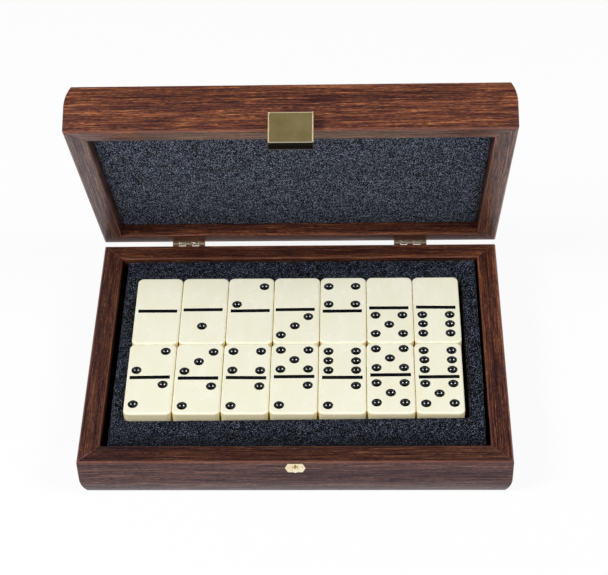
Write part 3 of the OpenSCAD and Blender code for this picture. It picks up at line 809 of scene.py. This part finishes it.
def flank_share(normal):
    """0 on top and below, half on the short sides, 1 where the next tile stands close."""
    if abs(normal.z) > 0.45:
        return 0.0
    return 0.5 if abs(normal.y) > 0.7 else 1.0


blank = tile_blank()
blank.data.materials.append(ivory.material)
flank = blank.data.attributes.new("flank", "FLOAT", "FACE")
flank.data.foreach_set("value", [flank_share(face.normal) for face in blank.data.polygons])
blank.hide_render = blank.hide_viewport = True
print("blank faces:", len(blank.data.polygons))

# %% Geometry Nodes tree that carves a tile
def carving_tree():
    graph, given = geometry_tree("Carve tile", Blank="Object", Ball="Float",
                                 Bar="Vector", Paint="Material")
    points = graph.node("GeometryNodeMeshToPoints", {}, {"Mesh": given["Geometry"]})
    is_bar = mesh_number(graph, "bar")
    ball = graph.node("GeometryNodeMeshUVSphere", {},
                      {"Segments": 28, "Rings": 24, "Radius": given["Ball"]})
    block = graph.node("GeometryNodeMeshCube", {}, {"Size": given["Bar"]})
    turn = graph.node("ShaderNodeCombineXYZ", {}, {"Z": mesh_number(graph, "turn")})
    balls = graph.node("GeometryNodeInstanceOnPoints", {}, {
        "Points": points, "Selection": 1 - is_bar, "Instance": ball})
    blocks = graph.node("GeometryNodeInstanceOnPoints", {}, {
        "Points": points, "Selection": is_bar, "Instance": block, "Rotation": turn})
    cutters = graph.tree.nodes.new("GeometryNodeJoinGeometry")
    for part in (blocks, balls):
        graph.tree.links.new(part.socket, cutters.inputs[0])
    whole = graph.node("GeometryNodeRealizeInstances", {},
                       {"Geometry": Signal(graph, cutters.outputs[0])})
    painted = graph.node("GeometryNodeSetMaterial", {},
                         {"Geometry": whole, "Material": given["Paint"]})
    body = graph.node("GeometryNodeObjectInfo", {}, {"Object": given["Blank"]}, output="Geometry")
    carved = graph.node("GeometryNodeMeshBoolean", {"operation": "DIFFERENCE", "solver": "EXACT"},
                        {"Mesh 1": body, "Mesh 2": painted})
    graph.end(graph.node("GeometryNodeRealizeInstances", {}, {"Geometry": carved}),
              "NodeGroupOutput")
    return graph.tree


carve = carving_tree()
print("tree:", carve.name)

# %% [markdown]
# ## Prints and places
# Real tiles aren't pressed alike, so on the upper ones the print sits off the middle,
# and every spot and bar has a little scatter. The front row has slid left and back.

# %% Tiles
def spots(count):
    """Places of the spots on one half, as dice have them, in steps across and along."""
    places = [(0, 0)] if count % 2 else []
    places += [(-1, -1), (1, 1)] if count > 1 else []
    places += [(-1, 1), (1, -1)] if count > 3 else []
    return places + ([(-1, 0), (1, 0)] if count == 6 else [])


chance = random.Random(28)
NEAR_ROW = Vector((-0.45, 0.2, 0)) * MM
PRINT_X, PRINT_Y, SPOT_SCATTER = -0.1, 0.25, 0.12
# In mm: the far half with the bar, the near half, and both across the tile.
PRINT_OFF = {
    "0_0": (-0.6, 0, 0), "0_1": (0, -0.45, -0.5), "2_0": (-1.0, 0, 0), "0_3": (-0.3, -0.5, -0.8),
    "4_0": (-1.2, 0, -0.5), "0_5": (0.9, 0.25, -0.5), "0_6": (0.9, 0.5, -0.35),
    "2_2": (0.4, 0.4, -0.3), "3_2": (-0.3, -1.0, 0), "4_2": (0, -0.95, 0),
    "5_2": (0.8, -0.6, 0), "6_2": (-0.2, -1.0, 0), "5_5": (1.6, 1.0, 0), "6_5": (0.2, 0.3, 0)}


def tile(node, far, near, body):
    """Carves one tile out of the blank and lays it where its node lies."""
    far_off, near_off, across = PRINT_OFF.get(f"{far}_{near}", (0, 0, 0))

    def scatter():
        return chance.uniform(-SPOT_SCATTER, SPOT_SCATTER)

    ball_z, bar_z = TILE_T - PIP_DEPTH + PIP_BALL, TILE_T - BAR_DEPTH + BAR_H / 2
    points = []
    for middle, count in ((PIP_MID + far_off, far), (near_off - PIP_MID, near)):
        for x, y in spots(count):
            points.append((x * PIP_DX + PRINT_X + across + scatter(),
                           middle + y * PIP_DY + PRINT_Y + scatter(), ball_z))
    points.append((across, chance.uniform(-0.1, 0.5) + far_off, bar_z))
    mesh = bpy.data.meshes.new("cuts")
    mesh.from_pydata([Vector(p) * MM for p in points], [], [])
    balls = [0.0] * (len(points) - 1)
    for name, bar_value in (("bar", 1.0), ("turn", math.radians(chance.uniform(-1.0, 1.0)))):
        layer = mesh.attributes.new(name, "FLOAT", "POINT")
        layer.data.foreach_set("value", balls + [bar_value])
    thing = run_tree(make_object(f"tile_{far}_{near}", mesh), carve, Blank=blank,
                     Ball=PIP_BALL * MM, Bar=(BAR_L * MM, BAR_W * MM, BAR_H * MM),
                     Paint=black.material)
    low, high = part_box(node)
    centre = (low + high) / 2
    if centre.y < 0:
        centre += NEAR_ROW
    askew = Matrix.Rotation(math.radians(chance.uniform(-0.12, 0.12)), 4, "Z")
    thing.data.transform(Matrix.Translation((centre.x, centre.y, low.z)) @ askew)
    return hand_over(smooth(thing, 40.0), body, "ivory", node)


tile_nodes = [(body, names[0]) for body, names in bodies.items() if body.startswith("tile_")]
for body, node in tile_nodes:
    far, near = (int(n) for n in node.split("_")[1:])
    made = tile(node, far, near, body)
bpy.data.objects.remove(blank)
print("tiles:", len(tile_nodes), "faces in the last:", len(made.data.polygons))

# %% [markdown]
# ## Brass and steel
# The fittings are thin pressed brass with softly rolled edges, which is where metal
# catches the light. The keeper and the hinges are a paler brass than the flap, and a
# number in a mesh marks painted shadow: metal darkened to stand in for shade. A copy
# of each shape of the construction model is welded together, its flat parts merged,
# and every brass edge given a small round.
# NUDGE moves latch and keeper to where they were nailed.

# %% Metal finishes
ROUGH_SPREAD = 0.03


def metal_finish(name, low, high, rough):
    metal = Finish(name, Metallic=1.0, Roughness=rough)
    stain = metal.noise((110, 110, 110), 2.0, 0.5)
    brush = metal.noise((90, 2600, 2600), 2.0, 0.6, shift=(1, 3, 8))
    clean = metal.blend(metal.span(stain, 0.3, 0.7), low, high)
    # Painted shadow: marked faces are blended to a dark tone that stands in for shade.
    metal.drive("Base Color", metal.blend(metal.attribute("dull"), clean, tone(72, 66, 61)))
    metal.drive("Roughness", metal.span(brush * 0.6 + stain * 0.4, 0.3, 0.7,
                                        rough - ROUGH_SPREAD, rough + ROUGH_SPREAD))
    return metal.material


brass = metal_finish("pressed_brass", tone(206, 182, 120), tone(226, 206, 148), 0.24)
# Paler brass for keeper and hinges, also used as a painted highlight on the flap's beads and the catch's lower
# part.
pale_brass = metal_finish("pale_brass", tone(238, 222, 190), tone(248, 236, 210), 0.3)
steel = metal_finish("drawn_steel", tone(176, 172, 162), tone(204, 200, 190), 0.3)
print("materials:", brass.name, pale_brass.name, steel.name)

# %% Fittings
WELD, FLAT_ANGLE, EDGE_ANGLE = 2e-6, math.radians(1.0), math.radians(35)


def softened(node, body, slot, material, width):
    """A rounded copy of a node of the construction model."""
    mesh = frame["nodes"][node].data.copy()
    mesh.name = node
    data = bmesh.new()
    data.from_mesh(mesh)
    bmesh.ops.remove_doubles(data, verts=data.verts, dist=WELD)
    bmesh.ops.dissolve_limit(data, angle_limit=FLAT_ANGLE, verts=data.verts, edges=data.edges)
    data.to_mesh(mesh)
    data.free()
    mesh.materials.clear()
    mesh.materials.append(material)
    thing = make_object(f"{node}_dressed", mesh)
    if width:
        bevel = thing.modifiers.new("round", "BEVEL")
        bevel.width, bevel.segments = width * MM, 2
        bevel.limit_method, bevel.angle_limit = "ANGLE", EDGE_ANGLE
        apply_modifiers(thing)
    return hand_over(smooth(thing, 40.0), body, slot, node)


SMALL_ROUND = 0.1
in_body = {n: body for body, names in bodies.items() for n in names}
slots = {s["node"]: s["material_slot"] for s in frame["record"]["subparts"]}
metals = {"brass": brass, "steel": steel}
DRAWN_HERE = ("latch_flap", "keeper_stud")
FLAP_X, KEEPER_X, KEEPER_Z, KEEPER_LOW = 0.8, 0.6, 0.9, 0.88
keeper_mid = (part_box("keeper_plate")[0].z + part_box("keeper_plate")[1].z) / 2
NUDGE = {"latch": Matrix.Translation(Vector((FLAP_X, 0, 0)) * MM),
         "keeper": Matrix.Translation((KEEPER_X * MM, 0, KEEPER_Z * MM + keeper_mid))
         @ Matrix.Diagonal((1, 1, KEEPER_LOW, 1)) @ Matrix.Translation((0, 0, -keeper_mid))}
for node, slot in slots.items():
    if slot in metals and node not in DRAWN_HERE:
        is_pale = node.startswith("keeper_") or node.endswith("_leaf")
        finish = pale_brass if is_pale else metals[slot]
        made = softened(node, in_body[node], slot, finish, SMALL_ROUND if slot == "brass" else 0.0)
        made.data.transform(NUDGE.get(node.split("_")[0], Matrix()))
print("fittings:", sum(slot in metals for slot in slots.values()))

# %% [markdown]
# ## Flap and catch
# These two sit in the middle of the picture, so they are drawn here. The flap is a
# pressed tray: a flat face, cheeks, a lip that leans back and is darkened as painted
# shadow, and a low bead round the face whose pale brass is a painted highlight, so it
# shows as a thin bright line. The catch widens downwards like a small nose with a slit
# darkened as painted shadow, and its lower part is pale brass as a painted highlight.
# Its sections are given as the share of the way down, the radius and how far it stands
# out.

# %% Flap and catch
FLAP_HALF, FLAP_UP, FLAP_DOWN = 11.2, 7.7, 8.5
LIP_H, LIP_BACK, SHEET, FLAP_OUT, CHEEK_BACK = 2.9, 1.2, 0.7, 5.2, 2.0
TURN_OUT, CHEEK_SOFT, BEAD_SUNK = 3.0, 0.08, 0.03
NOSE = ((0.05, 0.5, 0.05), (0.2, 1.2, 0.5), (0.45, 1.75, 1.05),
        (0.75, 1.95, 1.45), (1.0, 1.75, 1.7), (1.1, 1.3, 1.5))


def on_lid_front(x, out, up):
    """A place on the lid's front: across, out from the case, and up from the lid rim."""
    return OPENED @ (Vector((x + FLAP_X, -BOX_D / 2 - out, BASE_H + SEAM + up)) * MM)


def carried(data, sections, finish=0):
    """A closed skin through sections of equal point count; finish is a material's number."""
    skin(data, [[data.verts.new(p) for p in section] for section in sections], finish)


def sheet_across(data, outline, half, soft):
    """A closed outline (out, up) carried across the flap, drawn in at both ends."""
    thin = drawn_in(outline, soft)
    sections = [(thin, -half), (outline, -half + soft), (outline, half - soft), (thin, half)]
    carried(data, [[on_lid_front(x, out, up) for out, up in shape] for shape, x in sections])


def bead(data, path, half_width, height, across):
    """A low bead along points (x, out, up), in pale brass as a painted highlight; across is its width's direction,
    (x, up).
    """
    arch = [i / 4 - 1 for i in range(9)]
    sections = []
    for x, out, up in path:
        sections.append([on_lid_front(x + across[0] * half_width * a,
                                      out + height * (1 - a * a) - BEAD_SUNK,
                                      up + across[1] * half_width * a) for a in arch])
    carried(data, sections, 1)


def pressed_flap():
    data = bmesh.new()
    low = -FLAP_DOWN - LIP_H
    inside = FLAP_OUT - SHEET
    sheet = [(FLAP_OUT, FLAP_UP), (FLAP_OUT, -FLAP_DOWN), (FLAP_OUT - LIP_BACK, low),
             (inside - LIP_BACK, low), (inside, -FLAP_DOWN),
             (inside, FLAP_UP - SHEET), (TURN_OUT, FLAP_UP - SHEET), (TURN_OUT, FLAP_UP)]
    sheet_across(data, sheet, FLAP_HALF - 0.05, CHEEK_SOFT)
    cheek = [(FLAP_OUT - 0.02, FLAP_UP), (FLAP_OUT - 0.02, -FLAP_DOWN),
             (FLAP_OUT - LIP_BACK - 0.02, low), (inside - LIP_BACK, low),
             (CHEEK_BACK, -FLAP_DOWN), (CHEEK_BACK, 4.0),
             (CHEEK_BACK - 0.5, 5.2), (CHEEK_BACK - 0.5, FLAP_UP)]
    for side in (-1, 1):
        depths = (0, CHEEK_SOFT, SHEET - 0.05, SHEET)
        shapes = (drawn_in(cheek, CHEEK_SOFT), cheek, cheek, drawn_in(cheek, 0.05))
        carried(data, [[on_lid_front(side * (FLAP_HALF - depth), out, up) for out, up in shape]
                       for depth, shape in zip(depths, shapes)])
        x = side * (FLAP_HALF - 0.45)
        bead(data, [(x, FLAP_OUT, FLAP_UP - 0.02), (x, FLAP_OUT, -FLAP_DOWN)],
             0.36, 0.42, (1, 0))
        x = side * (FLAP_HALF - 0.2)
        bead(data, [(x, FLAP_OUT - 0.05, -FLAP_DOWN), (x, FLAP_OUT - LIP_BACK, low + 0.05)],
             0.2, 0.14, (1, 0))
    end = FLAP_HALF - 0.5
    for up, half in ((FLAP_UP - 0.25, 0.22), (-FLAP_DOWN + 0.4, 0.4)):
        bead(data, [(-end, FLAP_OUT, up), (end, FLAP_OUT, up)], half, 0.24, (0, 1))
    # Painted shadow: the lip below the face is darkened to stand in for shade.
    dull = data.faces.layers.float.new("dull")
    for face in data.faces:
        up = (OPENED.inverted() @ face.calc_center_median()).z / MM - BASE_H - SEAM
        face[dull] = 1.0 if up < -FLAP_DOWN - 0.15 else 0.0
    return smooth(solid("pressed_flap", data, brass, pale_brass), 32.0)


def catch_nose():
    """A stud that grows from a point near the top to a round nose at the bottom."""
    data = bmesh.new()
    low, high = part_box("keeper_stud")
    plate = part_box("keeper_plate")[0].y / MM
    top, bottom = high.z / MM, low.z / MM
    sections = []
    for share, radius, out in NOSE:
        z = top + (bottom - top) * share
        loop = [(radius * math.cos(a), plate - out * math.sin(a) ** 0.8, z)
                for a in (math.radians(180 * i / 14) for i in range(15))]
        loop = [(loop[0][0], plate + 0.2, z)] + loop + [(loop[-1][0], plate + 0.2, z)]
        sections.append([NUDGE["keeper"] @ (Vector(p) * MM) for p in loop])
    carried(data, sections)
    dull = data.faces.layers.float.new("dull")
    for face in data.faces:
        place = face.calc_center_median()
        share = (place.z / MM - KEEPER_Z - top) / (bottom - top)
        # Painted shadow in the slit of the catch.
        in_slit = abs(place.x / MM - KEEPER_X) < 0.2 and 0.3 < share < 0.8
        face[dull] = 0.6 if in_slit else 0.0
        # The lower part of the catch is pale brass as a painted highlight.
        face.material_index = int(share > 0.6)
    return smooth(solid("catch_nose", data, brass, pale_brass), 50.0)


hand_over(pressed_flap(), "latch", "brass", "latch_flap")
hand_over(catch_nose(), "case", "brass", "keeper_stud")
print("flap and catch drawn")

# %% [markdown]
# ## Corner keys
# The splines in the mitres are buried in the rails, and their shape in the model is
# right, so they stay as they are and only get bare birch.

# %% Corner keys
birch = Finish("bare_birch", Roughness=0.6)
fibres = birch.noise((60, 60, 900), 3.0, 0.6)
birch.drive("Base Color", birch.blend(fibres, tone(206, 180, 140), tone(226, 204, 168)))
for node in ("base_corner_keys", "lid_corner_keys"):
    keys = frame["nodes"][node].data
    keys.materials.clear()
    keys.materials.append(birch.material)
print("keys dressed")

# %% [markdown]
# ## Studio
# The photograph has a plain white ground and soft lamps to the left and right, high up.
# The floor is white to the camera and in reflections, and still takes a faint shadow.
# The room is light near the floor and dim overhead, darkest where a photographer would
# stand, and the wall behind the box gives little light, which keeps the wood rich.

# %% Floor and surroundings
FLOOR_HALF, FLOOR_Z = 4.0, -0.0002
FLOOR_GLOW, FLOOR_SHADED, FLOOR_BOUNCE = 0.91, 0.08, 0.86
floor_mesh = bpy.data.meshes.new("floor")
floor_mesh.from_pydata([(x * FLOOR_HALF, y * FLOOR_HALF, FLOOR_Z)
                        for x, y in ((-1, -1), (1, -1), (1, 1), (-1, 1))], [], [(0, 1, 2, 3)])
floor = make_object("floor", floor_mesh)


def bare_graph(owner):
    """The emptied node graph of a material or world, and what its Light Path node says."""
    owner.use_nodes = True
    owner.node_tree.nodes.clear()
    graph = Graph(owner.node_tree)
    outputs = graph.tree.nodes.new("ShaderNodeLightPath").outputs
    return graph, {out.name: Signal(graph, out) for out in outputs}


def floor_material():
    material = bpy.data.materials.new("white_floor")
    graph, ray = bare_graph(material)
    seen = ray["Is Camera Ray"] + ray["Is Glossy Ray"] + ray["Is Transmission Ray"]
    bounce = graph.node("ShaderNodeBsdfDiffuse", {}, {"Color": (*[FLOOR_BOUNCE] * 3, 1)})
    shade = graph.node("ShaderNodeBsdfDiffuse", {}, {"Color": (*[FLOOR_SHADED] * 3, 1)})
    glow = graph.node("ShaderNodeEmission", {}, {"Color": (1, 1, 1, 1), "Strength": FLOOR_GLOW})
    bright = graph.node("ShaderNodeAddShader", {}, {0: shade, 1: glow})
    graph.end(graph.node("ShaderNodeMixShader", {}, {0: seen, 1: bounce, 2: bright}),
              "ShaderNodeOutputMaterial")
    return material


floor_mesh.materials.append(floor_material())
print("floor ready")

# %% Room
TOWARDS_CAMERA = (0.0, -0.72, 0.69)
LOW_LIGHT, TOP_LIGHT, CAMERA_LIGHT, BACK_DIM = 0.95, 0.26, 0.08, 0.6

world = bpy.data.worlds.new("studio")
bpy.context.scene.world = world
room, ray = bare_graph(world)
direction = room.node("ShaderNodeTexCoord", output="Generated")
height = room.node("ShaderNodeSeparateXYZ", {}, {0: direction}, output="Z")
depth = room.node("ShaderNodeSeparateXYZ", {}, {0: direction}, output="Y")
facing = room.node("ShaderNodeVectorMath", {"operation": "DOT_PRODUCT"},
                   {0: direction, 1: TOWARDS_CAMERA}, output="Value")
ceiling = room.span(height, 0.05, 0.5, LOW_LIGHT, TOP_LIGHT)
gloom = room.span(facing, 0.8, 0.96, 1.0, CAMERA_LIGHT)
behind, above = room.span(depth, 0.0, 0.4), room.span(height, 0.15, 0.4)
dim = (1 - ray["Is Glossy Ray"]) * behind * above * BACK_DIM
strength = ray["Is Camera Ray"] + (1 - ray["Is Camera Ray"]) * (ceiling * gloom * (1 - dim))
sky = room.node("ShaderNodeBackground", {}, {"Color": (1, 1, 1, 1), "Strength": strength})
room.end(sky, "ShaderNodeOutputWorld")
print("room ready")

# %% Lamps
LAMP_AIM, LAMP_W, LAMP_L = Vector((0, 0, 0.05)), 0.38, 0.44
LAMPS = (("left_softbox", Vector((-0.85, -0.46, 1.0)), 13.0),
         ("right_softbox", Vector((0.85, -0.35, 1.0)), 8.7))

for name, place, power in LAMPS:
    data = bpy.data.lights.new(name, "AREA")
    data.shape, data.size, data.size_y, data.energy = "RECTANGLE", LAMP_W, LAMP_L, power
    lamp = bpy.data.objects.new(name, data)
    aimed = (LAMP_AIM - place).to_track_quat("-Z", "Y").to_matrix().to_4x4()
    lamp.matrix_world = Matrix.Translation(place) @ aimed
    bpy.context.scene.collection.objects.link(lamp)
bpy.context.scene.view_settings.view_transform = "Standard"
print("lamps:", len(LAMPS))
